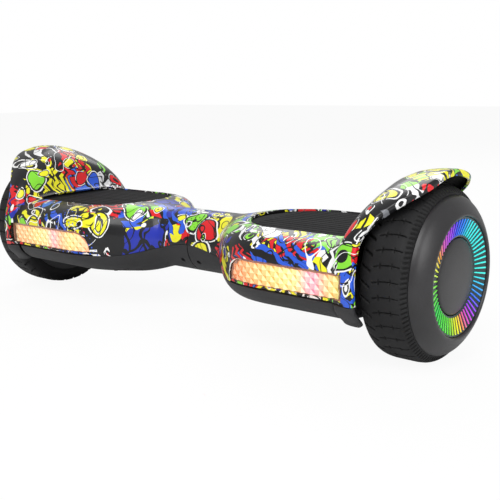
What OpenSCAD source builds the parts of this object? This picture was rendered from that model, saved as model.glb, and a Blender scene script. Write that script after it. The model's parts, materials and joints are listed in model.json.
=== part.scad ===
// Self balancing hoverboard: two half boards that twist about a centre tube,
// each with a sprung foot pad, a front light, a wheel fender and a hub motor wheel.
// X runs along the board, the lights face -Y, and the floor is Z = 0.
// The origin is on the floor, halfway between the wheels.

/* [Body] */
// Radius of the round waist between the two halves
waist_r = 34.5; // [32:0.5:37]
// Half of the depth of a half board at its widest
body_hd = 93; // [88:1:100]
// Height of the body's roof above the axle line
roof_h = 40; // [38:0.5:43]
// Depth of the body's floor below the axle line
floor_h = 42.5; // [40:0.5:46]
// Distance from the board's middle to a body's end wall
body_end = 233; // [229:1:235]
// Wall of the plastic shells
wall = 2.5; // [2:0.1:3]
// Gap between the two halves at the waist
waist_gap = 1.2; // [0.8:0.1:2]

/* [Fender] */
// Room between the tyre and the outer face of the fender
fender_clear = 14.5; // [12.5:0.5:17.5]
// Wall of the fender
fender_t = 3; // [2.5:0.1:3.5]
// How far out the fender reaches over the top of the wheel
fender_reach = 299; // [285:1:302]
// How far out the fender and the lower shell reach in front of the wheel
fender_side = 254; // [251:1:258]

/* [Foot pad] */
// Inner end of the pad
pad_x0 = 84; // [80:1:90]
// Outer end of the pad
pad_x1 = 226; // [220:1:228]
// Half of the pad's depth
pad_hy = 61; // [56:1:62]
// Thickness of the pad
pad_t = 8; // [6:0.5:10]
// Height of the top of the foot pads above the axle line
pad_rise = 36.5; // [35.5:0.5:37]
// Gap round the pad
pad_gap = 0.45; // [0.4:0.05:0.8]
// How far the pad goes down under a foot
pad_travel = 2; // [1:0.5:2.5]

/* [Wheel] */
// Radius of the tyre
wheel_r = 82.5; // [80:0.5:85]
// Inner face of the tyre, from the board's middle
tyre_x0 = 249; // [247:0.5:251]
// Outer face of the tyre
tyre_x1 = 296; // [293:0.5:298]
// Radius of the rim under the tyre
rim_r = 65; // [62:0.5:68]
// Outermost point of the wheel trim
trim_x = 310.5; // [308:0.5:313]
// Outer radius of the lit ring
ring_r = 55; // [53:0.5:57]
// Radius of the centre cap
cap_r = 35.6; // [34:0.2:38]
// Radius of the fixed axle
axle_r = 7.5; // [7:0.25:8]
// Outer radius of the ball bearings
bearing_r = 16; // [15:0.5:17.5]
// Width of a ball bearing
bearing_w = 8; // [7:0.5:9]

/* [Pivot] */
// Outer radius of the pivot tube
tube_r = 12.5; // [11:0.25:13]
// Wall of the pivot tube
tube_wall = 3; // [2.5:0.25:4]
// Running clearance of the tube in its bush
run_gap = 0.05; // [0.02:0.01:0.08]
// Wall of the bush
bush_wall = 2.5; // [2:0.25:3]

/* [Rear fittings] */
// Place of the charge port along the left half
port_x = 142; // [135:1:150]
// Place of the power button along the left half
button_x = 108; // [104:1:114]
// Height of both above the floor
port_z = 53; // [52:0.5:55]
// Travel of the power button
button_travel = 1.5; // [1:0.1:2]

/* [Hidden] */

$fn = 96;
fit = 0.3;                       // gap between pieces that only sit beside each other
axle_z = wheel_r;                // the axle line is one tyre radius up
fender_r = wheel_r + fender_clear;    // the arch over the tyre
pad_top = axle_z + pad_rise;
tube_bore_r = tube_r - tube_wall;
flare_x0 = 43;                   // where the waist starts to widen
flare_x1 = 140;                  // where the body has its full depth
loop_n = 60;                     // points round one section of the body
stations = [waist_gap / 2, 22, flare_x0, 48, 53, 58, 64, 70, 76, 83, 91, 99, 108, 118,
            129, flare_x1, 165, 200, body_end];

// Frame casting
plate_t = 3;
plate_z = axle_z + 7.5;          // underside of the casting's deck
deck_z = plate_z + plate_t;
deck_x0 = pad_x0 + 2;
deck_hy = 66;
rib_t = 3;
seat_x0 = body_end - 27;         // the axle seat runs from here
seat_x1 = body_end - 2.5;        // to the inside of the end wall
seat_hy = 26;
clamp_t = 18;
slot_r = axle_r + 4;              // opening in the end wall round the axle
clamp_screw_r = 3;
web_z = plate_z - 24;            // lower edge of the casting's side webs
neck_x0 = 20;                    // the casting's neck starts here
boss_r = 20;
bush_r = tube_r + run_gap + bush_wall;
bush_flange = 1.8;
bush_x1 = 46;
clip_t = 1.2;
post_r = 5;
post_z = axle_z - 22;
post_y = 50;
post_xs = [102, 190];
screw_r = 1.8;
head_r = 3.2;
head_z = axle_z - 36.5;          // seat of the screw heads in the lower shell
waist_screw_x = 12;
waist_screw_a = 33;              // below level, to the front and to the rear

// Floor of each half, for the battery and the main board
tray_x0 = deck_x0 + 13;
tray_l = seat_x0 - 27 - tray_x0;
tray_hy = 37;
tray_z = axle_z - floor_h + wall + 2;

// Fittings at the rear
fitting_y = body_hd - 2;         // their outer face
port_r = 13;
port_jack_r = 5.5;
button_r = 7;
plunger_xs = [118, 196];
plunger_y = 34;

// Front light
lens_z0 = axle_z - 14.5;
lens_z1 = axle_z + 11.5;
lens_x1 = 243;
lens_tip_x = 106;
lens_top_x = 128;
lens_t = 3;
housing_x0 = 127;
housing_x1 = body_end - 4;
housing_y = body_hd - 5.2;
housing_d = 10;
board_t = 1.6;

// Wheel and motor
rotor_wall = 4;
can_x0 = tyre_x0 + 1;
can_x1 = tyre_x1 - 5;
cover_t = 3;
magnet_t = 2;
air_gap = 1;
stator_r = rim_r - rotor_wall - magnet_t - air_gap;
stator_x0 = can_x0 + 9.5;
stator_x1 = can_x1 - 12.5;
tooth_n = 18;
tooth_w = 7;
yoke_r = 38;
coil_t = 2.3;
magnet_n = 30;
hub_r = bearing_r + 4;
axle_x1 = can_x1 - cover_t - 0.5;
cable_r = 2.9;
cable_bore_r = 3;

// Ease in and out between 0 and 1
function ease(t) = let(u = min(1, max(0, t))) u * u * (3 - 2 * u);
// A ramp that leaves 0 gently
function soft_ramp(u, w) = u <= 0 ? 0 : u < w ? u * u / (2 * w) : u - w / 2;
// Half of the body's depth at a place along the board
function half_depth(x) =
    let(u = min(1, soft_ramp((x - flare_x0) / (flare_x1 - flare_x0), 0.12)))
    waist_r + (body_hd - waist_r) * (1 - pow(1 - u, 2.2));
function roof(x) = waist_r + (roof_h - waist_r) * ease((x - flare_x0) / 45);
function belly(x) = waist_r + (floor_h - waist_r) * ease((x - flare_x0) / 38);
// How square the section is: 2 is an ellipse
function squareness(x, up) = 2 + (up ? 2 : 1.2) * ease((x - flare_x0) / 80);
// Distance from the axle line to the body's skin, at angle a from level
function skin(x, a, inset) =
    let(up = sin(a) >= 0, n = squareness(x, up),
        h = (up ? roof(x) : belly(x)) - inset, d = half_depth(x) - inset)
    pow(pow(abs(cos(a)) / d, n) + pow(abs(sin(a)) / h, n), -1 / n);
function section(x, inset) =
    [for (i = [loop_n : -1 : 1]) let(a = 360 * i / loop_n, r = skin(x, a, inset))
        [x, r * cos(a), axle_z + r * sin(a)]];
// Height of the joint between the upper and the lower shell
function joint_z(x) = axle_z - 16.5 + 17 * (1 - ease(x / 90));

// A closed skin over equal loops of points
module loft(loops) {
    m = len(loops[0]);
    k = len(loops);
    sides = [for (j = [0 : k - 2]) for (i = [0 : m - 1])
        [j * m + i, j * m + (i + 1) % m, (j + 1) * m + (i + 1) % m, (j + 1) * m + i]];
    caps = [[for (i = [m - 1 : -1 : 0]) i], [for (i = [0 : m - 1]) (k - 1) * m + i]];
    polyhedron(points = [for (l = loops) each l], faces = concat(sides, caps), convexity = 8);
}

// The shells are smooth mouldings, kept as one skin
module moulded() {
    resize([0, 0, 0]) children();
}

module mirrored(left) {
    if (left) mirror([1, 0, 0]) children();
    else children();
}

module tube_x(r, x0, x1) {
    translate([x0, 0, axle_z]) rotate([0, 90, 0]) cylinder(r = r, h = x1 - x0);
}

// A profile of [radius, x] points turned about the axle line
module turned(profile) {
    translate([0, 0, axle_z]) rotate([0, 90, 0]) rotate_extrude() polygon(profile);
}

module body_solid(inset, x0, x1) {
    mid = [for (x = stations) if (x > x0 && x < x1) x];
    loft([for (x = concat([x0], mid, [x1])) section(x, inset)]);
}

// Everything above the joint line of the shells
module above_joint() {
    xs = [for (i = [0 : 5 : 90]) i];
    line = [for (x = xs) [x, joint_z(x)]];
    translate([0, 150, 0]) rotate([90, 0, 0])
        linear_extrude(300) polygon(concat([[-5, joint_z(0)]], line,
            [[320, joint_z(320)], [320, 260], [-5, 260]]));
}

module below_joint() {
    difference() {
        translate([-5, -149, 5]) cube([325, 298, 200]);
        above_joint();
    }
}

// Outline of the pad: square at the wheel, round towards the middle
module pad_outline(grow) {
    round_r = pad_hy - 6;
    r_c = 8;
    pts = concat(
        [for (a = [-90 : 7.5 : 0]) [pad_x1 - r_c + (r_c + grow) * cos(a),
                                    -pad_hy + r_c + (r_c + grow) * sin(a)]],
        [for (a = [0 : 7.5 : 90]) [pad_x1 - r_c + (r_c + grow) * cos(a),
                                   pad_hy - r_c + (r_c + grow) * sin(a)]],
        [for (a = [90 : 5 : 270]) [pad_x0 + round_r + (round_r + grow) * cos(a),
                                   (pad_hy + grow) * sin(a)]]);
    polygon(pts);
}

module lens_outline(shrink) {
    bend = lens_top_x - lens_tip_x;
    h = lens_z1 - lens_z0;
    pts = concat(
        [[lens_x1 - shrink, lens_z0 + shrink], [lens_x1 - shrink, lens_z1 - shrink]],
        [for (a = [90 : -10 : 0]) [lens_top_x - (bend - shrink) * pow(cos(a), 0.9),
                                   lens_z0 + shrink + (h - 2 * shrink) * pow(sin(a), 0.9)]]);
    polygon(pts);
}

// A block through the front wall with the outline of the lens
module lens_block(shrink) {
    translate([0, -housing_y + 16, 0]) rotate([90, 0, 0])
        linear_extrude(40) lens_outline(shrink);
}

module body_skin() {
    difference() {
        body_solid(0, waist_gap / 2, body_end);
        body_solid(wall, waist_gap / 2 - 1, body_end - wall);
    }
}

module axle_slot() {
    tube_x(slot_r, body_end - 10, body_end + 10);
    translate([body_end - 10, -slot_r, joint_z(100) - 1])
        cube([20, 2 * slot_r, axle_z - joint_z(100) + 1]);
}

module waist_screw_place(side) {
    translate([waist_screw_x, 0, axle_z])
        rotate([side * (90 + waist_screw_a), 0, 0]) children();
}

// ---- casings ----

module top_shell(left) {
    color("gold") mirrored(left) moulded() difference() {
        intersection() {
            body_skin();
            above_joint();
        }
        translate([0, 0, deck_z + 10]) linear_extrude(60) pad_outline(pad_gap);
        lens_block(0);
        axle_slot();
    }
}

// The lower shell reaches out round the wheel as a lip under the fender
module lower_arch() {
    difference() {
        fender_sweep(99, 115, 6, 1);
        above_joint();
    }
    mirror([0, 1, 0]) difference() {
        fender_sweep(99, 115, 6, 1);
        above_joint();
    }
}

module screw_boss(x, y) {
    translate([x, y, head_z - 2.4]) cylinder(r = post_r, h = post_z - head_z + 2.4, $fn = 20);
}

module fitting_boss(x, r) {
    translate([x, fitting_y, port_z]) rotate([90, 0, 0])
        cylinder(r = r, h = 17, $fn = 40);
}

module fitting_bore(x, r) {
    translate([x, fitting_y + 20, port_z]) rotate([90, 0, 0])
        cylinder(r = r, h = 60, $fn = 40);
}

module bottom_shell(left) {
    color("dimgray") mirrored(left) moulded() difference() {
        union() {
            difference() {
                body_skin();
                above_joint();
            }
            lower_arch();
            for (x = post_xs) for (s = [-1, 1]) screw_boss(x, s * post_y);
            if (left) fitting_boss(port_x, port_r);
            if (left) fitting_boss(button_x, button_r + 4);
        }
        for (x = post_xs) for (s = [-1, 1]) translate([x, s * post_y, 0]) {
            cylinder(r = head_r + 0.4, h = head_z, $fn = 20);
            cylinder(r = screw_r + 0.2, h = post_z + 5, $fn = 20);
        }
        for (s = [-1, 1]) waist_screw_place(s) cylinder(r = 2.9, h = 60, $fn = 24);
        if (left) fitting_bore(port_x, port_r - 2.8);
        if (left) fitting_bore(button_x, button_r + fit);
        tube_x(slot_r, body_end - 10, body_end + 2);
    }
}

// How far out the fender's rim reaches, at angle a from straight up
function rim_x(a) = fender_side + (fender_reach - fender_side) * ease((68 - abs(a)) / 50);

// Outer radius at angle a: the lower shell's lip draws in below the fender
function flare_r(a) = fender_r - 8 * ease((abs(a) - 101) / 14);

// One cut through the fender in the plane that holds the axle line, its foot sunk into the end wall
function fender_cut(a, n, sink) =
    let(r0 = skin(body_end, 90 - a, 0), xr = rim_x(a), p = 2 / 2.6, t = fender_t,
        rise = flare_r(a) - r0,
        side = [for (i = [0 : n]) let(f = 90 * i / n)
            [xr - (xr - body_end) * pow(cos(f), p), r0 + rise * pow(sin(f), p)]],
        inner = [for (i = [n : -1 : 0]) let(f = 90 * i / n)
            [xr - (xr - body_end - t) * pow(cos(f), p),
             r0 - t + rise * pow(sin(f), p)]],
        foot = [[body_end + t, r0 - 12], [body_end - sink, r0 - 12]])
    [for (q = concat(side, inner, foot)) [q[0], -q[1] * sin(a), axle_z + q[1] * cos(a)]];

module fender_sweep(a0, a1, steps, sink) {
    loft([for (i = [0 : steps]) fender_cut(a0 + (a1 - a0) * i / steps, 9, sink)]);
}

module fender(left) {
    color("gold") mirrored(left) moulded() difference() {
        fender_sweep(-103, 103, 48, 0);
        below_joint();
        lens_block(0);
    }
}

module light_lens(left) {
    color("orange", 0.7) mirrored(left) moulded() intersection() {
        difference() {
            body_solid(0, 60, lens_x1 + 5);
            body_solid(lens_t, 50, lens_x1 + 6);
        }
        lens_block(fit);
    }
}

module light_housing(left) {
    h = lens_z1 - lens_z0;
    l = housing_x1 - housing_x0;
    color("white") mirrored(left) translate([housing_x0, -housing_y, lens_z0]) difference() {
        cube([l, housing_d, h]);
        translate([1.5, -1, 1.5]) cube([l - 3, housing_d - 0.5, h - 3]);
    }
}

module light_board(left) {
    h = lens_z1 - lens_z0 - 6;
    l = housing_x1 - housing_x0 - 6;
    led_n = 12;
    color("white") mirrored(left)
        translate([housing_x0 + 3, -housing_y + housing_d - 1.5 - board_t, lens_z0 + 3]) {
            cube([l, board_t, h]);
            for (i = [0 : led_n - 1])
                translate([(i + 0.5) * l / led_n - 2.5, -1.4, h / 2 - 2.5]) cube([5, 1.5, 5]);
        }
}

// ---- frame ----

module frame(left) {
    bore_r = left ? tube_r : bush_r;
    boss_x0 = left ? waist_gap / 2 : bush_flange;
    color("silver") mirrored(left) difference() {
        union() {
            translate([deck_x0, -deck_hy, plate_z]) cube([seat_x1 - deck_x0, 2 * deck_hy, plate_t]);
            translate([neck_x0, -boss_r, plate_z])
                cube([deck_x0 - neck_x0, 2 * boss_r, plate_t]);
            for (s = [0, 1]) mirror([0, s, 0]) {
                translate([deck_x0, deck_hy - rib_t, web_z])
                    cube([seat_x1 - deck_x0, rib_t, plate_z - web_z]);
                translate([neck_x0, boss_r - rib_t, plate_z - 16])
                    cube([deck_x0 + rib_t - neck_x0, rib_t, 16]);
                for (x = post_xs) translate([x, post_y, post_z])
                    cylinder(r = post_r, h = plate_z - post_z);
            }
            tube_x(boss_r, boss_x0, left ? 60 : bush_x1);
            translate([seat_x0, -seat_hy, axle_z])
                cube([seat_x1 - seat_x0, 2 * seat_hy, plate_z - axle_z]);
        }
        tube_x(bore_r, 0, left ? 60.1 : bush_x1);
        tube_x(boss_r - rib_t, left ? 60 : bush_x1, deck_x0 - 4);
        tube_x(axle_r, seat_x0 - 1, seat_x1 + 1);
        for (x = post_xs) for (s = [-1, 1]) translate([x, s * post_y, post_z - 1])
            cylinder(r = screw_r, h = 20);
        clamp_screw_places() cylinder(r = clamp_screw_r, h = 60);
    }
}

module clamp_screw_places() {
    for (x = [seat_x0 + 6, seat_x1 - 6]) for (s = [-1, 1])
        translate([x, s * 17, axle_z - clamp_t]) children();
}

module axle_clamp(left) {
    color("silver") mirrored(left) difference() {
        translate([seat_x0, -seat_hy, axle_z - clamp_t])
            cube([seat_x1 - seat_x0, 2 * seat_hy, clamp_t]);
        tube_x(axle_r, seat_x0 - 1, seat_x1 + 1);
        clamp_screw_places() translate([0, 0, -1]) cylinder(r = clamp_screw_r + 0.2, h = 40);
    }
}

module clamp_screws(left) {
    color("dimgray") mirrored(left) clamp_screw_places() difference() {
        union() {
            translate([0, 0, -5]) cylinder(r = 5, h = 5);
            cylinder(r = clamp_screw_r, h = clamp_t + 8);
        }
        translate([0, 0, -5.1]) cylinder(r = 2.6, h = 3, $fn = 6);
    }
}

module shell_screws(left) {
    color("black") mirrored(left) {
        for (x = post_xs) for (s = [-1, 1]) translate([x, s * post_y, head_z]) difference() {
            union() {
                translate([0, 0, -2.4]) cylinder(r = head_r, h = 2.4);
                cylinder(r = screw_r, h = post_z - head_z + 12);
            }
            translate([0, 0, -2.5]) cylinder(r = 1.3, h = 1.6, $fn = 6);
        }
        for (s = [-1, 1]) waist_screw_place(s) {
            translate([0, 0, boss_r]) cylinder(r = 1.4, h = waist_r - boss_r - 3);
            translate([0, 0, waist_r - 3.2]) cylinder(r = 2.6, h = 2);
        }
    }
}

// ---- pivot between the halves ----

module pivot_tube() {
    color("silver") difference() {
        tube_x(tube_r, -60, bush_x1 + 6);
        tube_x(tube_bore_r, -61, bush_x1 + 7);
        difference() {
            tube_x(tube_r + 1, bush_x1 + fit, bush_x1 + fit + clip_t);
            tube_x(tube_r - 1, bush_x1 + fit - 1, bush_x1 + fit + clip_t + 1);
        }
    }
}

module pivot_circlip() {
    color("dimgray") difference() {
        tube_x(tube_r + 3.2, bush_x1 + fit, bush_x1 + fit + clip_t);
        tube_x(tube_r - 1, bush_x1, bush_x1 + 5);
        translate([bush_x1, -2.5, axle_z - tube_r - 5]) cube([5, 5, 7]);
    }
}

module pivot_bush() {
    color("goldenrod") difference() {
        union() {
            tube_x(boss_r - 1, -waist_gap / 2 + fit, bush_flange);
            tube_x(bush_r, 0, bush_x1);
        }
        tube_x(tube_r + run_gap, -2, bush_x1 + 1);
    }
}

module harness() {
    color("black") {
        tube_x(tube_bore_r - 0.5, -66, bush_x1 + 12);
        translate([-72, -7, axle_z - 5]) cube([6, 14, 10]);
        translate([bush_x1 + 12, -7, axle_z - 5]) cube([6, 14, 10]);
    }
}

// ---- electrics ----

module battery_pack() {
    h = 45;
    bevel = 4;
    color("royalblue") mirror([1, 0, 0]) difference() {
        translate([tray_x0, -tray_hy, tray_z]) cube([tray_l, 2 * tray_hy, h]);
        for (s = [-1, 1]) translate([tray_x0 - 1, s * tray_hy, tray_z + h]) rotate([0, 90, 0])
            cylinder(r = bevel, h = tray_l + 2, $fn = 4);
    }
}

// The controller: a finned heat sink on the floor, the board and its tall parts on top
module main_board() {
    sink_t = 7;
    fin_n = 7;
    pitch = 2 * tray_hy / fin_n;
    top = tray_z + sink_t + board_t;
    color("seagreen") {
        difference() {
            translate([tray_x0, -tray_hy, tray_z]) cube([tray_l, 2 * tray_hy, sink_t]);
            for (i = [0 : fin_n - 1])
                translate([tray_x0 - 1, -tray_hy + (i + 0.25) * pitch, tray_z + 4])
                    cube([tray_l + 2, pitch / 2, 4]);
        }
        translate([tray_x0, -tray_hy, tray_z + sink_t]) cube([tray_l, 2 * tray_hy, board_t]);
        for (y = [-24, -8, 8]) translate([tray_x0 + 10, y, top]) cylinder(r = 6, h = 18);
        for (i = [0 : 2]) translate([tray_x0 + 24 + i * 18, -26, top]) cube([12, 10, 8]);
        translate([tray_x0 + 24, 12, top]) cube([44, 20, 5]);
    }
}

module sensor_board(left) {
    color("seagreen") mirrored(left) {
        translate([100, -46, deck_z]) cube([106, 92, board_t]);
        for (x = [plunger_xs[0] + 10, plunger_xs[1] - 17]) for (s = [-1, 1])
            translate([x, s * plunger_y - 4, deck_z + board_t]) cube([7, 8, 5]);
    }
}

module motor_cable(left) {
    color("black") mirrored(left) {
        tube_x(cable_r, seat_x0 - 14, stator_x0 - 2);
        translate([seat_x0 - 26, -6, axle_z - 4]) cube([12, 12, 8]);
    }
}

module charge_socket() {
    color("dimgray") difference() {
        translate([-port_x, fitting_y - 0.4, port_z]) rotate([90, 0, 0])
            cylinder(r = port_r - 3, h = 18);
        translate([-port_x, fitting_y, port_z]) rotate([90, 0, 0])
            cylinder(r = port_jack_r, h = 13);
    }
}

module power_switch() {
    color("dimgray") translate([-button_x, fitting_y - 8, port_z]) rotate([90, 0, 0])
        cylinder(r = button_r, h = 10);
}

// ---- pieces that move ----

module foot_pad(left) {
    groove_n = 13;
    pitch = 2 * (pad_hy - 7) / (groove_n - 1);
    color("dimgray") mirrored(left) difference() {
        translate([0, 0, pad_top - pad_t]) linear_extrude(pad_t) pad_outline(0);
        for (i = [0 : groove_n - 1])
            translate([pad_x0 + 20, -pad_hy + 7 + i * pitch - 0.7, pad_top - 1])
                cube([pad_x1 - pad_x0 - 30, 1.4, 2]);
    }
}

module pad_plungers(left) {
    z0 = deck_z + board_t + pad_travel + 0.4;
    color("black") mirrored(left) for (x = plunger_xs) for (s = [-1, 1])
        translate([x, s * plunger_y, z0]) cylinder(r = 6, h = pad_top - pad_t - z0);
}

module power_button() {
    color("red") translate([-button_x, fitting_y + button_travel + fit, port_z])
        rotate([90, 0, 0]) cylinder(r = button_r, h = 7.5);
}

// Rubber cap of the charge port: it swings down on the tab at its lower edge
module charge_cap() {
    t = 2.5;
    y = fitting_y + fit;
    color("black") {
        translate([-port_x, y + t, port_z]) rotate([90, 0, 0]) cylinder(r = port_r - 1.5, h = t);
        translate([-port_x, y, port_z]) rotate([90, 0, 0]) difference() {
            cylinder(r = port_jack_r - fit, h = 3);
            translate([0, 0, -0.1]) cylinder(r = port_jack_r - 1.9, h = 4);
        }
        translate([-port_x - 4, y, port_z - port_r]) cube([8, t, 3]);
        translate([-port_x - 4, y + t / 2, port_z - port_r]) rotate([0, 90, 0])
            cylinder(r = t / 2, h = 8, $fn = 32);
    }
}

// ---- wheel ----

module axle(left) {
    color("silver") mirrored(left) difference() {
        tube_x(axle_r, seat_x0, axle_x1);
        tube_x(cable_bore_r, seat_x0 - 1, stator_x0 - 1);
    }
}

module stator(left) {
    pitch = 360 / tooth_n;
    color("silver") mirrored(left) translate([stator_x0, 0, axle_z]) rotate([0, 90, 0])
        linear_extrude(stator_x1 - stator_x0) difference() {
            union() {
                circle(r = yoke_r);
                for (i = [0 : tooth_n - 1]) rotate(i * pitch) translate([yoke_r - 2, -tooth_w / 2])
                    square([stator_r - 2 - yoke_r + 2, tooth_w]);
                intersection() {
                    difference() {
                        circle(r = stator_r);
                        circle(r = stator_r - 3);
                    }
                    for (i = [0 : tooth_n - 1]) rotate(i * pitch) translate([yoke_r, -8])
                        square([30, 16]);
                }
            }
            circle(r = axle_r);
            for (i = [0 : 5]) rotate(i * 60) translate([24, 0]) circle(r = 7);
        }
}

module coils(left) {
    pitch = 360 / tooth_n;
    l = stator_x1 - stator_x0;
    color("orangered") mirrored(left) for (i = [0 : tooth_n - 1])
        translate([stator_x0, 0, axle_z]) rotate([0, 90, 0]) rotate(i * pitch) difference() {
            translate([yoke_r + 1, -tooth_w / 2 - coil_t, -coil_t])
                cube([stator_r - yoke_r - 4.5, tooth_w + 2 * coil_t, l + 2 * coil_t]);
            translate([yoke_r, -tooth_w / 2, 0]) cube([30, tooth_w, l]);
        }
}

module rotor(left) {
    x1 = can_x1;
    color("dimgray") mirrored(left) turned([[rim_r, can_x0 + cover_t], [rim_r, x1],
        [0, x1], [0, x1 - cover_t], [bearing_r, x1 - cover_t],
        [bearing_r, x1 - cover_t - bearing_w], [hub_r, x1 - cover_t - bearing_w],
        [hub_r, x1 - cover_t], [rim_r - rotor_wall, x1 - cover_t],
        [rim_r - rotor_wall, can_x0 + cover_t]]);
}

module hub_cover(left) {
    color("dimgray") mirrored(left) turned([[rim_r, can_x0], [rim_r, can_x0 + cover_t],
        [hub_r, can_x0 + cover_t], [hub_r, can_x0 + bearing_w],
        [bearing_r, can_x0 + bearing_w], [bearing_r, can_x0]]);
}

module bearing(x) {
    r_in = axle_r + run_gap;
    mid = (r_in + bearing_r) / 2;
    difference() {
        turned([[r_in, x], [bearing_r, x], [bearing_r, x + bearing_w], [r_in, x + bearing_w]]);
        turned([[mid - 2, x - 1], [mid + 2, x - 1], [mid + 2, x + 1], [mid - 2, x + 1]]);
        turned([[mid - 2, x + bearing_w - 1], [mid + 2, x + bearing_w - 1],
                [mid + 2, x + bearing_w + 1], [mid - 2, x + bearing_w + 1]]);
    }
}

module wheel_bearings(left) {
    color("silver") mirrored(left) {
        bearing(can_x0);
        bearing(can_x1 - cover_t - bearing_w);
    }
}

module magnets(left) {
    r = rim_r - rotor_wall;
    color("gray") mirrored(left) translate([stator_x0 - 1, 0, axle_z]) rotate([0, 90, 0])
        for (i = [0 : magnet_n - 1]) rotate(i * 360 / magnet_n) intersection() {
            difference() {
                cylinder(r = r, h = stator_x1 - stator_x0 + 2);
                translate([0, 0, -1]) cylinder(r = r - magnet_t, h = 40);
            }
            translate([r - 6, -5.2, -1]) cube([12, 10.4, 40]);
        }
}

module tyre(left) {
    r = wheel_r;
    a = tyre_x0;
    b = tyre_x1;
    color("dimgray") mirrored(left) turned([[rim_r, a + 2], [rim_r + 5, a + 0.5], [r - 10, a],
        [r - 5, a + 1.3], [r - 2, a + 4], [r - 0.6, a + 8], [r, a + 13], [r, b - 13],
        [r - 0.6, b - 8], [r - 2.4, b - 4], [r - 5.5, b - 1], [r - 8, b],
        [rim_r + 3, b - 0.5], [rim_r, b - 2]]);
}

// The smooth cone outside the tyre, with a rounded rim round the lit ring
module wheel_trim(left) {
    r = wheel_r - 8.5;
    x = tyre_x1 + 0.2;
    span = trim_x - x;
    color("dimgray") mirrored(left) turned([[r, x], [r - 0.8, x + 0.17 * span],
        [r - 5, x + 0.47 * span], [r - 10, x + 0.75 * span],
        [ring_r + 5.5, x + 0.92 * span], [ring_r + 3.6, x + 0.985 * span],
        [ring_r + 2.3, trim_x], [ring_r + 0.6, trim_x - 0.5], [ring_r, trim_x - 1.6],
        [ring_r, can_x1], [ring_r + 2, can_x1], [ring_r + 2.5, trim_x - 4],
        [r - 11, x + 0.5 * span], [r - 6, x + 0.2 * span], [r - 8, x]]);
}

module led_ring(left) {
    o = ring_r - 0.2;
    i = cap_r + 0.4;
    x_o = trim_x - 1.6;
    x_i = trim_x - 7;
    t = 2;
    color("cyan") mirrored(left) turned([[i, can_x1], [i + t, can_x1], [i + t, x_i - t],
        [o - t, x_o - t], [o - t, can_x1], [o, can_x1], [o, x_o], [i, x_i]]);
}

module centre_cap(left) {
    x = trim_x - 5;
    t = 2;
    color("dimgray") mirrored(left) turned([[cap_r, can_x1], [cap_r, x - 2.6],
        [cap_r - 1.4, x - 1.2], [cap_r - 4, x - 0.6], [cap_r / 2, x + 0.6], [0, x + 1],
        [0, x + 1 - t], [cap_r - 2.5, x - 1.2 - t], [cap_r - 2.5, can_x1]]);
}

// ---- nodes ----

frame(true);  // frame_left
frame(false);  // frame_right
top_shell(true);  // top_shell_left
top_shell(false);  // top_shell_right
bottom_shell(true);  // bottom_shell_left
bottom_shell(false);  // bottom_shell_right
fender(true);  // fender_left
fender(false);  // fender_right
light_lens(true);  // light_lens_left
light_lens(false);  // light_lens_right
light_housing(true);  // light_housing_left
light_housing(false);  // light_housing_right
light_board(true);  // light_board_left
light_board(false);  // light_board_right
sensor_board(true);  // sensor_board_left
sensor_board(false);  // sensor_board_right
battery_pack();
main_board();
axle_clamp(true);  // axle_clamp_left
axle_clamp(false);  // axle_clamp_right
clamp_screws(true);  // clamp_screws_left
clamp_screws(false);  // clamp_screws_right
axle(true);  // axle_left
axle(false);  // axle_right
stator(true);  // stator_left
stator(false);  // stator_right
coils(true);  // coils_left
coils(false);  // coils_right
motor_cable(true);  // motor_cable_left
motor_cable(false);  // motor_cable_right
pivot_tube();
pivot_circlip();
pivot_bush();
harness();
shell_screws(true);  // shell_screws_left
shell_screws(false);  // shell_screws_right
charge_socket();
power_switch();
charge_cap();
power_button();
foot_pad(true);  // foot_pad_left
foot_pad(false);  // foot_pad_right
pad_plungers(true);  // pad_plungers_left
pad_plungers(false);  // pad_plungers_right
tyre(true);  // tyre_left
tyre(false);  // tyre_right
rotor(true);  // rotor_left
rotor(false);  // rotor_right
magnets(true);  // magnets_left
magnets(false);  // magnets_right
hub_cover(true);  // hub_cover_left
hub_cover(false);  // hub_cover_right
wheel_bearings(true);  // wheel_bearings_left
wheel_bearings(false);  // wheel_bearings_right
wheel_trim(true);  // wheel_trim_left
wheel_trim(false);  // wheel_trim_right
led_ring(true);  // led_ring_left
led_ring(false);  // led_ring_right
centre_cap(true);  // centre_cap_left
centre_cap(false);  // centre_cap_right
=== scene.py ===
import json
import math
import bmesh
import bpy
import numpy as np
from mathutils import Matrix, Vector


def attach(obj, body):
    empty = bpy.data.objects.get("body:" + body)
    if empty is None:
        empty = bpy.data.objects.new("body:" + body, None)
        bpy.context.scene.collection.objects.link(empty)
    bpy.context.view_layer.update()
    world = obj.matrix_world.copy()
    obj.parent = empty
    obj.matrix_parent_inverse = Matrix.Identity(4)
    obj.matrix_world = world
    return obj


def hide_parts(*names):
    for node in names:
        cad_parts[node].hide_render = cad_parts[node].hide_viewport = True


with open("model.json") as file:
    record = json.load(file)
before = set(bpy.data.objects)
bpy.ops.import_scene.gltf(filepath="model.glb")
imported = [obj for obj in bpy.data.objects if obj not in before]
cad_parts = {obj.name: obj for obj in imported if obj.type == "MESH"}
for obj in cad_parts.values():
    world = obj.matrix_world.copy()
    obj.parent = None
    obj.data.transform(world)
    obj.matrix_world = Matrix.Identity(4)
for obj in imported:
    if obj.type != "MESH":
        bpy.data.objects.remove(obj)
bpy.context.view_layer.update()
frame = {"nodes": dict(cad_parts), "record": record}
bpy.ops.object.select_all(action="DESELECT")

# ---------------------------------------------------------------- studio
# A pale floor under a plain white world, three soft lamps and a camera
# at standing height off the right front corner of the board.


def linear(hex_colour):
    parts = [int(hex_colour[i : i + 2], 16) / 255 for i in (1, 3, 5)]
    return tuple(c / 12.92 if c <= 0.04045 else ((c + 0.055) / 1.055) ** 2.4 for c in parts) + (1.0,)


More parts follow.
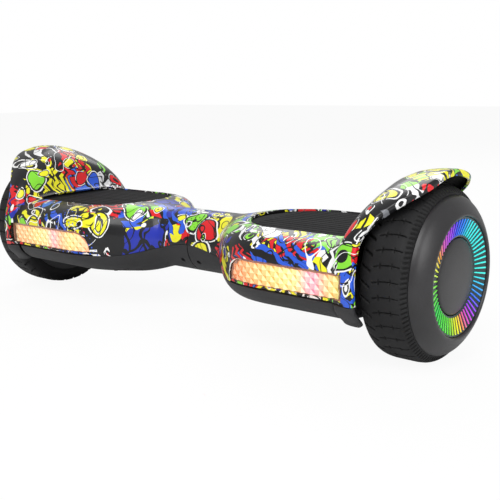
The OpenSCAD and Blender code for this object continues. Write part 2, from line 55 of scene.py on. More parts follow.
def add(tree, kind, inputs=None, **settings):
    """Adds a node, sets it and joins its inputs: a value is set, a socket is linked."""
    node = tree.nodes.new(kind)
    for key, value in settings.items():
        setattr(node, key, value)
    for key, value in (inputs or {}).items():
        if isinstance(value, bpy.types.NodeSocket):
            tree.links.new(value, node.inputs[key])
        else:
            node.inputs[key].default_value = value
    return node


def blank(name):
    """A new material with only its output, and that output's surface socket."""
    mat = bpy.data.materials.new(name)
    mat.use_nodes = True
    mat.node_tree.nodes.clear()
    return mat, mat.node_tree, mat.node_tree.nodes.new("ShaderNodeOutputMaterial").inputs[0]


def ramp(tree, value, stops, interpolation="LINEAR"):
    """Colours by a value from 0 to 1, from (place, sRGB hex) stops."""
    node = add(tree, "ShaderNodeValToRGB", {0: value})
    node.color_ramp.interpolation = interpolation
    while len(node.color_ramp.elements) < len(stops):
        node.color_ramp.elements.new(0.5)
    for stop, (at, colour) in zip(node.color_ramp.elements, stops):
        stop.position = at
        stop.color = linear(colour)
    return node.outputs[0]


scene = bpy.context.scene
scene.view_settings.view_transform = "Standard"

azimuth, elevation, roll = (math.radians(v) for v in (39.92, 11.7, -1.1))
back = Vector((math.sin(azimuth) * math.cos(elevation), -math.cos(azimuth) * math.cos(elevation),
               math.sin(elevation)))
level = Vector((math.cos(azimuth), math.sin(azimuth), 0))
upright = back.cross(level)
right = level * math.cos(roll) + upright * math.sin(roll)
bpy.ops.object.camera_add()
camera = bpy.context.object
camera.data.lens = 59.35
camera.data.sensor_width = 36
camera.data.clip_start = 0.01
camera.matrix_world = Matrix.Translation(Vector((0.0617, 0, 0.0786)) + back * 0.898) @ Matrix(
    (right, back.cross(right), back)).transposed().to_4x4()
scene.camera = camera

bpy.ops.mesh.primitive_plane_add(size=12)
floor = bpy.context.object
floor.name = "floor"
floor_paint, tree, surface = blank("matte_white_floor")
seen = add(tree, "ShaderNodeLightPath")
grain = add(tree, "ShaderNodeTexNoise", {"Scale": 40.0, "Detail": 3.0})
tone = ramp(tree, grain.outputs[0], [(0, "#F2F2F2"), (1, "#F8F8F8")])
matte = add(tree, "ShaderNodeBsdfDiffuse", {"Color": tone})
glow = add(tree, "ShaderNodeEmission", {"Color": (1, 1, 1, 1), "Strength": 1.0})
share = add(tree, "ShaderNodeMath", {0: seen.outputs["Is Camera Ray"], 1: 0.93}, operation="MULTIPLY")
mix = add(tree, "ShaderNodeMixShader", {0: share.outputs[0], 1: matte.outputs[0], 2: glow.outputs[0]})
tree.links.new(mix.outputs[0], surface)
floor.data.materials.append(floor_paint)

world = bpy.data.worlds.new("white_room")
world.use_nodes = True
tree = world.node_tree
tree.nodes.clear()
seen = add(tree, "ShaderNodeLightPath")
either = add(tree, "ShaderNodeMath", {0: seen.outputs["Is Camera Ray"], 1: seen.outputs["Is Transmission Ray"]},
             operation="MAXIMUM")
shiny = add(tree, "ShaderNodeMath", {0: seen.outputs["Is Glossy Ray"], 1: 0.35}, operation="MULTIPLY")
either = add(tree, "ShaderNodeMath", {0: either.outputs[0], 1: shiny.outputs[0]}, operation="MAXIMUM")
power = add(tree, "ShaderNodeMapRange", {0: either.outputs[0], 3: 0.36, 4: 1.0})
sky = add(tree, "ShaderNodeBackground", {"Color": (1, 1, 1, 1), "Strength": power.outputs[0]})
out = add(tree, "ShaderNodeOutputWorld", {0: sky.outputs[0]})
scene.world = world

for name, place, size, watts in (("key", (0.5, -1.3, 1.7), 1.3, 26), ("side", (1.7, -0.5, 0.9), 1.0, 12),
                                 ("back", (-0.7, 1.1, 1.4), 1.2, 13)):
    bpy.ops.object.light_add(type="AREA", location=place)
    lamp = bpy.context.object
    lamp.name = name + "_lamp"
    lamp.data.size = size
    lamp.data.energy = watts
    lamp.rotation_mode = "QUATERNION"
    lamp.rotation_quaternion = (Vector(place) - Vector((0, 0, 0.08))).to_track_quat("Z", "Y")

# ---------------------------------------------------------------- printed casings
# The upper shell and the wheel fender of each half, moulded as one flowing skin of ABS
# and wrapped in glossy film printed all over. The pad and the light sit in openings.

AXLE = 82.5          # height of the axle line and radius of the tyre, in mm
WAIST_R = 34.5
FLARE_X = 43         # where the waist starts to widen
BODY_END = 233.0     # inside of the wheel arch
FENDER_R = 97
EDGE_R = 3           # rolled edge of the fender
SHELL_T = 2.5
HALF_GAP = 0.6       # half of the gap at the waist
JOINT_GAP = 0.25     # from the joint's line to either shell


def ease(t):
    u = np.clip(t, 0, 1)
    return u * u * (3 - 2 * u)


def half_depth(x):
    t = (x - FLARE_X) / 97
    u = np.clip(np.where(t < 0.12, np.maximum(t, 0) ** 2 / 0.24, t - 0.06), 0, 1)
    return WAIST_R + 58.5 * (1 - (1 - u) ** 2.2)


def half_height(x, up):
    return WAIST_R + np.where(up, 5.5 * ease((x - FLARE_X) / 45), 8.0 * ease((x - FLARE_X) / 38))


def squareness(x, up):
    return 2 + np.where(up, 2.0, 1.2) * ease((x - FLARE_X) / 80)


def skin(x, a, inset=0.0):
    """Distance from the axle line to the skin, at angle a above level."""
    up = np.sin(a) >= 0
    n = squareness(x, up)
    return ((np.abs(np.cos(a)) / (half_depth(x) - inset)) ** n
            + (np.abs(np.sin(a)) / (half_height(x, up) - inset)) ** n) ** (-1 / n)


def joint_drop(x):
    """Height of the joint between the shells, from the axle line."""
    return -16.5 + 17 * (1 - ease(x / 90))


def joint_angle(x, gap):
    z = joint_drop(x) + gap
    up = z >= 0
    n = squareness(x, up)
    y = half_depth(x) * (1 - (abs(z) / half_height(x, up)) ** n) ** (1 / n)
    return float(np.arctan2(z, y))


def even(row, count):
    """The same line with its points spread evenly along it."""
    run = np.concatenate([[0], np.cumsum(np.linalg.norm(np.diff(row, axis=0), axis=1))])
    at = np.linspace(0, run[-1], count)
    return np.stack([np.interp(at, run, row[:, k]) for k in range(3)], axis=1)


def ring_row(x, a, r):
    return np.stack([np.broadcast_to(x, a.shape), r * np.cos(a), AXLE + r * np.sin(a)], axis=1)


def fender_reach(a):
    """How far out the fender's rim is, at angle a above level, in radians."""
    from_top = np.abs(90 - np.degrees(a))
    return 254 + 45 * ease((68 - from_top) / 50)


def fender_line(a, f, lip):
    """Place on the fender: f runs from the body to the rim, lip runs round its rolled edge."""
    p = 2 / 2.6
    r0 = skin(BODY_END, a)
    rim = fender_reach(a) - EDGE_R
    outer = FENDER_R - 8 * ease((np.abs(90 - np.degrees(a)) - 101) / 14)
    x = rim - (rim - BODY_END) * np.cos(f) ** p
    r = r0 + (outer - r0) * np.sin(f) ** p
    turn = min(lip, math.pi / 2)
    return x + EDGE_R * math.sin(turn), r - EDGE_R * (1 - math.cos(turn)) - 2 * max(0, lip - math.pi / 2)


def fender_row(f, lip, columns, a_from=None, a_to=None):
    ends = []
    for start in (0.0, math.pi):
        a = start
        for _ in range(12):
            r = float(fender_line(np.array([a]), f, lip)[1][0])
            drop = math.asin((joint_drop(200.0) + JOINT_GAP) / r)
            a = drop if start == 0 else math.pi - drop
        ends.append(a)
    if a_from is not None:
        ends = [a_from, a_to]
    a = np.linspace(ends[0], ends[1], 600)
    x, r = fender_line(a, f, lip)
    return even(ring_row(x, a, r), columns)


def sheet_of(name, rows, outward=True):
    """A skin through rows of points in mm, on the body's own grid, with its faces turned outwards."""
    pts = np.asarray(rows)
    bpy.ops.mesh.primitive_grid_add(x_subdivisions=pts.shape[1] - 1, y_subdivisions=pts.shape[0] - 1, size=1)
    piece = bpy.context.object
    piece.name = name
    piece.data.name = name
    piece.data.vertices.foreach_set("co", (pts.reshape(-1, 3) / 1000).astype(np.float32).ravel())
    piece.data.update()
    faces = piece.data.polygons
    lean = sum(f.normal.dot(f.center - Vector((f.center.x * 0.6, 0, AXLE / 1000))) * f.area for f in faces)
    if (lean < 0) == outward:
        piece.data.flip_normals()
    return piece


def apply(piece, kind, **settings):
    """Puts one modifier on a piece and applies it."""
    bpy.context.view_layer.objects.active = piece
    modifier = piece.modifiers.new(kind.lower(), kind)
    for key, value in settings.items():
        setattr(modifier, key, value)
    bpy.ops.object.modifier_apply(modifier=modifier.name)


def joined(name, pieces):
    bpy.ops.object.select_all(action="DESELECT")
    for piece in pieces:
        piece.select_set(True)
    bpy.context.view_layer.objects.active = pieces[0]
    bpy.ops.object.join()
    whole = bpy.context.object
    whole.name = whole.data.name = name
    return whole


def open_up(piece, outline, axes, side, reach=3.0):
    """Opens a hole in a skin: the faces inside the outline go, and the edge left is drawn onto it."""
    rim = np.array(outline) / 1000
    ends = np.roll(rim, -1, axis=0)

    def inside(p):
        crosses = (rim[:, 1] > p[1]) != (ends[:, 1] > p[1])
        with np.errstate(divide="ignore", invalid="ignore"):
            at = rim[:, 0] + (p[1] - rim[:, 1]) / (ends[:, 1] - rim[:, 1]) * (ends[:, 0] - rim[:, 0])
        return np.count_nonzero(crosses & (p[0] < at)) % 2 == 1

    def nearest(p):
        d = ends - rim
        t = np.clip(((p - rim) * d).sum(1) / (d * d).sum(1), 0, 1)
        q = rim + d * t[:, None]
        return q[np.argmin(((q - p) ** 2).sum(1))]

    lo, hi = rim.min(0) - 0.004, rim.max(0) + 0.004
    mesh = bmesh.new()
    mesh.from_mesh(piece.data)

    def flat(point):
        return np.array([point[axes[0]], point[axes[1]]])

    gone = [f for f in mesh.faces if side(f.calc_center_median()) and inside(flat(f.calc_center_median()))]
    bmesh.ops.delete(mesh, geom=gone, context="FACES")
    for v in mesh.verts:
        p = flat(v.co)
        if v.is_boundary and side(v.co) and (p > lo).all() and (p < hi).all():
            q = nearest(p)
            if np.linalg.norm(q - p) < reach / 1000:
                v.co[axes[0]], v.co[axes[1]] = q
    bmesh.ops.remove_doubles(mesh, verts=mesh.verts, dist=0.00008)
    mesh.to_mesh(piece.data)
    mesh.free()


def smoothed(piece, degrees=35):
    bpy.ops.object.select_all(action="DESELECT")
    piece.select_set(True)
    bpy.context.view_layer.objects.active = piece
    bpy.ops.object.shade_smooth_by_angle(angle=math.radians(degrees))
    piece.select_set(False)


def other_side(piece, name):
    """The left half's copy, mirrored across the middle of the board, with its own mesh."""
    twin = piece.copy()
    twin.data = piece.data.copy()
    twin.name = twin.data.name = name
    scene.collection.objects.link(twin)
    twin.data.transform(Matrix.Scale(-1, 4, (1, 0, 0)))
    twin.data.flip_normals()
    return twin


def finish_piece(piece, body, slot, *nodes):
    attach(piece, body)
    if nodes:
        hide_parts(*nodes)


def round_hole(x, y, r_x, r_y, count):
    return [(x + r_x * math.cos(t), y + r_y * math.sin(t)) for t in np.linspace(0, 2 * math.pi, count + 1)[:-1]]


film, tree, surface = blank("glossy_printed_film")
place = add(tree, "ShaderNodeTexCoord").outputs["Object"]
swirl = add(tree, "ShaderNodeTexNoise", {"Vector": place, "Scale": 26.0, "Detail": 1.5, "Roughness": 0.5})
swing = add(tree, "ShaderNodeVectorMath", {0: swirl.outputs["Color"], 1: (0.5, 0.5, 0.5)}, operation="SUBTRACT")
swing = add(tree, "ShaderNodeVectorMath", {0: swing.outputs[0], "Scale": 0.030}, operation="SCALE")
bent = add(tree, "ShaderNodeVectorMath", {0: place, 1: swing.outputs[0]}, operation="ADD").outputs[0]


def moved(where, shift, turn=(0, 0, 0), stretch=(1, 1, 1)):
    return add(tree, "ShaderNodeMapping", {"Vector": where, "Location": shift, "Rotation": turn,
                                           "Scale": stretch}).outputs[0]


def inks(value, stops):
    """Flat inks chosen by a value from 0 to 1."""
    return ramp(tree, value, stops, "CONSTANT")


def maths(operation, a, b=0.0, c=0.0):
    return add(tree, "ShaderNodeMath", {0: a, 1: b, 2: c}, operation=operation).outputs[0]


def over(mask, top, under):
    return add(tree, "ShaderNodeMix", {0: mask, 7: top, 6: under}, data_type="RGBA").outputs[2]


def patches(where, scale, metric="EUCLIDEAN", randomness=1.0):
    """Cells of about 1/scale metres: their distance and three random values for each."""
    near = add(tree, "ShaderNodeTexVoronoi", {"Vector": where, "Scale": scale, "Randomness": randomness},
               distance=metric)
    chance = add(tree, "ShaderNodeSeparateColor", {0: near.outputs["Color"]})
    return near.outputs["Distance"], chance.outputs[0], chance.outputs[1], chance.outputs[2]


# Ground: angular fields of about 40 mm in flat inks, with black lines between them
_, pick, _, _ = patches(bent, 36.0, "MANHATTAN")
ground = inks(pick, [(0.0, "#0B0B0F"), (0.24, "#F0EA26"), (0.38, "#101014"), (0.52, "#1E2FA8"), (0.6, "#3F6FD8"),
                     (0.66, "#D9D9DC"), (0.69, "#0D0D12"), (0.8, "#DC1A22"), (0.88, "#86DC38"), (0.94, "#77797E")])
edge = add(tree, "ShaderNodeTexVoronoi", {"Vector": moved(bent, (0.21, 0.1, 0.05)), "Scale": 44.0},
           feature="DISTANCE_TO_EDGE").outputs["Distance"]
colour = over(maths("LESS_THAN", edge, 0.065), linear("#0A0A0C"), ground)

# Zigzag scribbles, 3 mm lines every 7 mm, in some fields
parts_of = add(tree, "ShaderNodeSeparateXYZ", {0: moved(bent, (0, 0, 0), (0.3, 0.2, 0.9))})
zig = maths("PINGPONG", maths("MULTIPLY", parts_of.outputs[2], 70.0), 0.5)
zag = maths("PINGPONG", maths("MULTIPLY_ADD", zig, 1.3, maths("MULTIPLY", parts_of.outputs[0], 140.0)), 0.5)
_, zig_pick, zig_ink, _ = patches(moved(bent, (0.5, 0.7, 0.2)), 30.0)
on = maths("GREATER_THAN", zig_pick, 0.62)
colour = over(maths("MULTIPLY", on, maths("GREATER_THAN", zag, 0.14)), linear("#09090B"), colour)
colour = over(maths("MULTIPLY", on, maths("GREATER_THAN", zag, 0.26)),
              inks(zig_ink, [(0.0, "#DC1A22"), (0.3, "#F0EA26"), (0.55, "#86DC38"), (0.75, "#2A5BD7"),
                             (0.9, "#F4F4F4")]),
              colour)

# Brushed bands, about 9 mm wide, slanting across some of the fields
band = add(tree, "ShaderNodeTexWave", {"Vector": moved(bent, (0, 0, 0), (0.5, 0.3, 0.7)), "Scale": 27.0,
                                       "Distortion": 5.0, "Detail": 2.0, "Detail Scale": 1.6},
           bands_direction="DIAGONAL")
_, band_pick, band_ink, _ = patches(moved(bent, (0.4, 0.2, 0.9)), 24.0)
band_mask = maths("MULTIPLY", maths("GREATER_THAN", band.outputs["Fac"], 0.62),
                  maths("GREATER_THAN", band_pick, 0.66))
band_dark = maths("MULTIPLY", maths("GREATER_THAN", band.outputs["Fac"], 0.5), maths("GREATER_THAN", band_pick, 0.66))
colour = over(band_dark, linear("#08080A"), colour)
colour = over(band_mask, inks(band_ink, [(0.0, "#E9E9EA"), (0.25, "#2A5BD7"), (0.5, "#F2EE2C"), (0.72, "#8CE03C"),
                                         (0.86, "#E01B24")]), colour)


def badges(shift, scale, size, share, stops, under, stretch=(1, 1, 1), turn=(0, 0, 0)):
    """Outlined blobs: ink inside, then a black line, then a thin white one."""
    far, chance, ink, _ = patches(moved(bent, shift, turn, stretch), scale)
    on = maths("GREATER_THAN", chance, 1 - share)
    size = maths("MULTIPLY_ADD", ink, 0.16, size)
    ring = over(maths("LESS_THAN", maths("SUBTRACT", far, size), -0.05), linear("#08080A"), linear("#F4F4F4"))
    fill = inks(ink, stops)
    core = maths("LESS_THAN", maths("SUBTRACT", far, size), -0.115)
    face = over(core, fill, ring)
    small = maths("LESS_THAN", far, maths("MULTIPLY", size, 0.4))
    heart = maths("MULTIPLY", small, maths("GREATER_THAN", chance, 1 - 0.4 * share))
    face = over(heart, linear("#08080A"), face)
    return over(maths("MULTIPLY", on, maths("LESS_THAN", far, size)), face, under)


colour = badges((0.7, 0.1, 0.3), 27.0, 0.42, 0.36,
                [(0.0, "#F0EA26"), (0.45, "#DC1A22"), (0.6, "#2A5BD7"), (0.75, "#86DC38"), (0.9, "#F4F4F4")],
                colour, (1, 1.5, 1.2), (0.2, 0.1, 0.6))
colour = badges((0.3, 0.9, 0.6), 50.0, 0.40, 0.34,
                [(0.0, "#1B1BA0"), (0.2, "#F2EE2C"), (0.45, "#F4F4F4"), (0.6, "#8CE03C"), (0.8, "#E01B24")],
                colour, (1.5, 1, 1), (0, 0.4, 0.2))

# Thin drawn lines, black and white, that follow the level lines of a slow noise
slow = add(tree, "ShaderNodeTexNoise", {"Vector": moved(place, (0.8, 0.4, 0.1)), "Scale": 30.0, "Detail": 0.6})
drawn = maths("PINGPONG", maths("MULTIPLY", slow.outputs[0], 7.0), 0.5)
colour = over(maths("LESS_THAN", drawn, 0.05), linear("#08080A"), colour)
pen = maths("PINGPONG", maths("MULTIPLY_ADD", slow.outputs[0], 5.0, 0.31), 0.5)
_, pen_pick, _, _ = patches(moved(place, (0.1, 0.6, 0.2)), 14.0)
colour = over(maths("MULTIPLY", maths("LESS_THAN", pen, 0.026), maths("GREATER_THAN", pen_pick, 0.62)),
              linear("#F6F6F6"), colour)

# Halftone dots at a 3.6 mm pitch, in patches
dots, _, _, _ = patches(moved(place, (0, 0, 0), (0.6, 0.6, 0.6)), 280.0, "EUCLIDEAN", 0.0)
_, dot_pick, dot_ink, _ = patches(moved(bent, (0.9, 0.3, 0.7)), 22.0)
colour = over(maths("MULTIPLY", maths("LESS_THAN", dots, 0.27), maths("GREATER_THAN", dot_pick, 0.86)),
              inks(dot_ink, [(0.0, "#101014"), (0.5, "#F4F4F4"), (0.75, "#2A5BD7")]), colour)
peel = add(tree, "ShaderNodeTexNoise", {"Vector": place, "Scale": 420.0, "Detail": 2.0})
relief = add(tree, "ShaderNodeBump", {"Height": peel.outputs[0], "Strength": 0.05, "Distance": 0.0004})
wear = add(tree, "ShaderNodeMapRange", {0: peel.outputs[0], 3: 0.26, 4: 0.36})
film_face = add(tree, "ShaderNodeBsdfPrincipled", {"Base Color": colour, "Roughness": wear.outputs[0],
                                                   "Normal": relief.outputs[0], "IOR": 1.5,
                                                   "Specular IOR Level": 0.35,
                                                   "Coat Weight": 0.22, "Coat Roughness": 0.06})
tree.links.new(film_face.outputs[0], surface)


def matte_abs(name, low, high, roughness=0.62, grain_mm=0.7):
    """Moulded ABS with a fine spark-eroded grain: dull, with a slightly speckled tone."""
    mat, tree, surface = blank(name)
    place = add(tree, "ShaderNodeTexCoord").outputs["Object"]
    cloud = add(tree, "ShaderNodeTexNoise", {"Vector": place, "Scale": 35.0, "Detail": 4.0})
    grain = add(tree, "ShaderNodeTexNoise", {"Vector": place, "Scale": 1000 / grain_mm, "Detail": 2.0})
    blend = add(tree, "ShaderNodeMath", {0: cloud.outputs[0], 1: grain.outputs[0]}, operation="ADD")
    tone = ramp(tree, blend.outputs[0], [(0.7, low), (1.0, high)])
    rough = add(tree, "ShaderNodeMapRange", {0: grain.outputs[0], 3: roughness - 0.06, 4: roughness + 0.06})
    bump = add(tree, "ShaderNodeBump", {"Height": grain.outputs[0], "Strength": 0.25, "Distance": 0.00015})
    face = add(tree, "ShaderNodeBsdfPrincipled", {"Base Color": tone, "Roughness": rough.outputs[0],
                                                  "Normal": bump.outputs[0], "IOR": 1.5})
    tree.links.new(face.outputs[0], surface)
    return mat


inside_plastic = matte_abs("moulded_black_abs", "#18181A", "#222224")
lower_plastic = matte_abs("textured_grey_abs", "#1C1C1D", "#262628", 0.58)

columns = 150
rows = []
for x in np.linspace(HALF_GAP, BODY_END, 141):
    start = joint_angle(x, JOINT_GAP)
    a = np.linspace(start, math.pi - start, 600)
    rows.append(even(ring_row(x, a, skin(x, a)), columns))
corner = len(rows) - 1
for f in np.linspace(0, math.pi / 2, 57)[1:]:
    rows.append(fender_row(f, 0.0, columns))
for lip in np.linspace(0, math.pi / 2, 7)[1:]:
    rows.append(fender_row(math.pi / 2, lip, columns))
for lip in (math.pi / 2 + 0.8, math.pi / 2 + 1.6):
    rows.append(fender_row(math.pi / 2, lip, columns))
rows = np.array(rows)
for _ in range(60):
    span = slice(corner - 4, corner + 9)
    rows[span] = 0.5 * rows[span] + 0.25 * (rows[corner - 5 : corner + 8] + rows[corner - 3 : corner + 10])
casing = sheet_of("printed_casing_right", rows)
casing.data.materials.append(film)
casing.data.materials.append(inside_plastic)

PAD_X0, PAD_X1, PAD_HY = 84.0, 226.0, 61.0


def pad_outline(grow):
    pts = [(PAD_X1 - 8 + (8 + grow) * math.cos(t), s * (PAD_HY - 8) + (8 + grow) * math.sin(t))
           for s, arc in ((-1, np.linspace(-math.pi / 2, 0, 13)), (1, np.linspace(0, math.pi / 2, 13))) for t in arc]
    pts += [(PAD_X0 + 55 + (55 + grow) * math.cos(t), (PAD_HY + grow) * math.sin(t))
            for t in np.linspace(math.pi / 2, 3 * math.pi / 2, 49)[1:-1]]
    return pts


LENS_Z0, LENS_Z1, LENS_X1, LENS_TIP, LENS_TOP = 68.0, 94.0, 243.0, 106.0, 128.0


def lens_outline(shrink):
    bend, height = LENS_TOP - LENS_TIP, LENS_Z1 - LENS_Z0
    return [(LENS_X1 - shrink, LENS_Z0 + shrink), (LENS_X1 - shrink, LENS_Z1 - shrink)] + [
        (LENS_TOP - (bend - shrink) * math.cos(t) ** 0.9,
         LENS_Z0 + shrink + (height - 2 * shrink) * math.sin(t) ** 0.9)
        for t in np.linspace(math.pi / 2 - 1e-6, 0, 24)]


open_up(casing, pad_outline(0.45), (0, 1), lambda p: p.z > 0.11)
open_up(casing, lens_outline(0.0), (0, 2), lambda p: p.y < -0.06)
apply(casing, "SOLIDIFY", thickness=SHELL_T / 1000, offset=-1, material_offset=1)

start = joint_angle(BODY_END, JOINT_GAP)
a = np.linspace(start, math.pi - start, 90)
wall_rows = [ring_row(BODY_END - 0.6, a, 11.5 + (skin(BODY_END, a) - 3.8 - 11.5) * s) for s in np.linspace(0, 1, 14)]
end_wall = sheet_of("end_wall", wall_rows)
end_wall.data.materials.append(inside_plastic)
end_wall.data.materials.append(inside_plastic)
apply(end_wall, "SOLIDIFY", thickness=0.002, offset=0)

casing = joined("printed_casing_right", [casing, end_wall])
smoothed(casing, 40)
twin = other_side(casing, "printed_casing_left")
finish_piece(casing, "right_half", "printed_shell", "top_shell_right", "fender_right")
finish_piece(twin, "left_half", "printed_shell", "top_shell_left", "fender_left")

# ---------------------------------------------------------------- lower shells
# The belly of each half, a second ABS moulding with a fine dull grain. It meets the casing
# at a thin joint, closes the end by the wheel, and carries a lip round the tyre front and rear.

rows = []
for x in np.linspace(HALF_GAP, BODY_END, 141):
    start = joint_angle(x, -JOINT_GAP)
    a = np.linspace(math.pi - start, 2 * math.pi + start, 600)
    rows.append(even(ring_row(x, a, skin(x, a)), 120))
corner = len(rows) - 1
start = joint_angle(BODY_END, -JOINT_GAP)
a = np.linspace(math.pi - start, 2 * math.pi + start, 600)
for s in np.linspace(0, 1, 31)[1:]:
    r = skin(BODY_END, a) * (1 - s) + 11.5 * s
    rows.append(even(ring_row(BODY_END, a, r), 120))
rows = np.array(rows)
for _ in range(8):
    span = slice(corner - 2, corner + 3)
    rows[span] = 0.5 * rows[span] + 0.25 * (rows[corner - 3 : corner + 2] + rows[corner - 1 : corner + 4])
belly = sheet_of("lower_shell_right", rows)
POST_Y = 50
POSTS = ((102, 44.9), (190, 43.3))     # place along the board, and lower end of the well
for x, _ in POSTS:
    for y in (-POST_Y, POST_Y):
        open_up(belly, round_hole(x, y, 3.8, 3.8, 24), (0, 1), lambda p: p.z < 0.05)
waist_hole = round_hole(12, 63.7, 2.9, 2.45, 18)
open_up(belly, waist_hole, (0, 2), lambda p: p.y < -0.015)
open_up(belly, waist_hole, (0, 2), lambda p: p.y > 0.015)
apply(belly, "SOLIDIFY", thickness=SHELL_T / 1000, offset=-1)


def arch_lip(name, front):
    """The lip round the tyre, from the joint down to 25 degrees below level."""
    low = math.radians(205 if front else -25)
    lines = []
    for f, lip in [(f, 0.0) for f in np.linspace(0.02, math.pi / 2, 40)] + [
            (math.pi / 2, t) for t in (0.4, 0.8, 1.2, math.pi / 2, math.pi / 2 + 0.8)]:
        rise = math.asin(-16.75 / 95)
        a = math.pi - rise if front else rise
        lines.append(fender_row(f, lip, 24, a, low))
    lip_piece = sheet_of(name, lines)
    apply(lip_piece, "SOLIDIFY", thickness=SHELL_T / 1000, offset=-1)
    return lip_piece


def turned(name, profile, steps, centre=(0, 0, AXLE), axis=(1, 0, 0), closed=True):
    """A profile of (radius, along) points in mm, spun about an axis like turned work."""
    along = Vector(axis)
    out = Vector((0, 0, 1)) if abs(along.z) < 0.5 else Vector((1, 0, 0))
    points = [(Vector(centre) + along * t + out * r) / 1000 for r, t in profile]
    bpy.ops.mesh.primitive_plane_add(size=0.001, location=points[0])
    piece = bpy.context.object
    piece.name = piece.data.name = name
    bpy.ops.object.transform_apply()
    bpy.ops.object.mode_set(mode="EDIT")
    bpy.ops.mesh.merge(type="CENTER")
    for here, there in zip(points, points[1:] + ([points[0]] if closed else [])):
        bpy.ops.mesh.extrude_region_move(TRANSFORM_OT_translate={"value": there - here})
    bpy.ops.mesh.select_all(action="SELECT")
    bpy.ops.mesh.spin(steps=steps, angle=2 * math.pi, center=Vector(centre) / 1000, axis=along)
    bpy.ops.mesh.select_all(action="SELECT")
    bpy.ops.mesh.remove_doubles(threshold=0.00001)
    bpy.ops.mesh.normals_make_consistent(inside=False)
    bpy.ops.object.mode_set(mode="OBJECT")
    return piece


parts = [belly, arch_lip("front_lip", True), arch_lip("rear_lip", False)]
for x, low in POSTS:
    for y in (-POST_Y, POST_Y):
        well = [(3.7, low), (3.7, 46), (1.9, 46), (1.9, 60), (4.4, 60), (4.4, low + 0.4)]
        parts.append(turned("screw_well", well, 24, (x, y, 0), (0, 0, 1)))
belly = joined("lower_shell_right", parts)
belly.data.materials.append(lower_plastic)
twin = other_side(belly, "lower_shell_left")
smoothed(belly, 40)
finish_piece(belly, "right_half", "lower_shell", "bottom_shell_right")
bosses = []
PORT_Z = 53
for x, bore, r in ((-142.0, 10.2, 13.0), (-108.0, 7.3, 11.0)):
    open_up(twin, round_hole(x, PORT_Z, r - 0.5, r - 0.5, 48), (0, 2), lambda p: p.y > 0.06)
    boss = [(bore + 0.6, 91), (r - 0.8, 91), (r, 90.2), (r, 74), (bore, 74), (bore, 90.4)]
    bosses.append(turned("fitting_boss", boss, 64, (x, 0, PORT_Z), (0, 1, 0)))
for boss in bosses:
    boss.data.materials.append(lower_plastic)
twin = joined("lower_shell_left", [twin] + bosses)
smoothed(twin, 40)
finish_piece(twin, "left_half", "lower_shell", "bottom_shell_left")

# ---------------------------------------------------------------- front lights
# Each light is a clear moulded cover over a pale frame and a faceted insert of 10 mm diamonds,
# lit from behind in warm colours that change along it.


def lens_inner_end(z, shrink):
    t = np.clip((z - LENS_Z0 - shrink) / (LENS_Z1 - LENS_Z0 - 2 * shrink), 0, 1)
    return LENS_TOP - (LENS_TOP - LENS_TIP - shrink) * np.sqrt(np.clip(1 - t ** (2 / 0.9), 0, 1)) ** 0.9


def front_of(x, z, inset):
    up = z >= AXLE
    n = squareness(x, up)
    return -(half_depth(x) - inset) * (1 - (np.abs(z - AXLE) / (half_height(x, up) - inset)) ** n) ** (1 / n)


def light_layer(name, shrink, inset, x_end, across, high, lift=None):
    """One layer of the light, following the casing's front a set depth under its skin."""
    z = np.linspace(LENS_Z0 + shrink, LENS_Z1 - shrink, high + 1)
    first = lens_inner_end(z, shrink)
    lines = []
    for i in range(across + 1):
        x = first + (x_end - first) * i / across
        depth = inset if lift is None else inset - lift(x, z)
        lines.append(np.stack([x, front_of(x, z, depth), z], axis=1))
    return sheet_of(name, lines)


clear, tree, surface = blank("clear_polycarbonate")
place = add(tree, "ShaderNodeTexCoord").outputs["Object"]
flow = add(tree, "ShaderNodeTexNoise", {"Vector": place, "Scale": 90.0, "Detail": 2.0})
rough = add(tree, "ShaderNodeMapRange", {0: flow.outputs[0], 3: 0.02, 4: 0.07})
tint = ramp(tree, flow.outputs[0], [(0, "#FFF4EC"), (1, "#FFFFFF")])
face = add(tree, "ShaderNodeBsdfPrincipled", {"Base Color": tint, "Roughness": rough.outputs[0],
                                              "IOR": 1.3, "Transmission Weight": 1.0})
passing = add(tree, "ShaderNodeBsdfTransparent", {"Color": linear("#FFF6F0")})
skinny = add(tree, "ShaderNodeMixShader", {0: 0.86, 1: face.outputs[0], 2: passing.outputs[0]})
tree.links.new(skinny.outputs[0], surface)

frame_plastic = matte_abs("smoky_pink_lens_frame", "#8E6E66", "#C09A8C", 0.3, 1.2)

glowing, tree, surface = blank("lit_faceted_lens")
place = add(tree, "ShaderNodeTexCoord").outputs["Object"]
parts_of = add(tree, "ShaderNodeSeparateXYZ", {0: place})
reach = 245.0
along = add(tree, "ShaderNodeMapRange", {0: parts_of.outputs[0], 1: -reach / 1000, 2: reach / 1000})
# inks by place along the board, in mm
stains = [(-237, "#7C9A5A"), (-230, "#F2A24E"), (-212, "#F4B458"), (-196, "#F5DC66"), (-178, "#F3EC8C"),
          (-164, "#EE9FD6"), (-150, "#F0A868"), (-134, "#F3D85E"), (-112, "#E99A5A"), (106, "#A9806C"),
          (114, "#D98A4E"), (128, "#F09A44"), (146, "#F3B24E"), (162, "#F4D65E"), (178, "#F6F08E"),
          (192, "#F3EE96"), (202, "#F0B0DC"), (212, "#E588D8"), (222, "#F2BE9A"), (231, "#F1DE72"),
          (236, "#B9E066")]
stain = ramp(tree, along.outputs[0], [((x + reach) / (2 * reach), ink) for x, ink in stains])
# Painted highlight and shade: each facet is lighter or darker by how it faces a fixed direction, and half of that
# goes into the lens colour and its glow
lean = add(tree, "ShaderNodeVectorMath", {0: add(tree, "ShaderNodeNewGeometry").outputs["True Normal"],
                                          1: (0.75, 0.0, 0.66)}, operation="DOT_PRODUCT")
facet_painted_light = add(tree, "ShaderNodeMapRange", {0: lean.outputs["Value"], 1: -0.34, 2: 0.34, 3: 0.0, 4: 1.0})
shade = add(tree, "ShaderNodeMix", {0: facet_painted_light.outputs[0], 6: linear("#B4602A"), 7: linear("#FFFBE6")},
            data_type="RGBA")
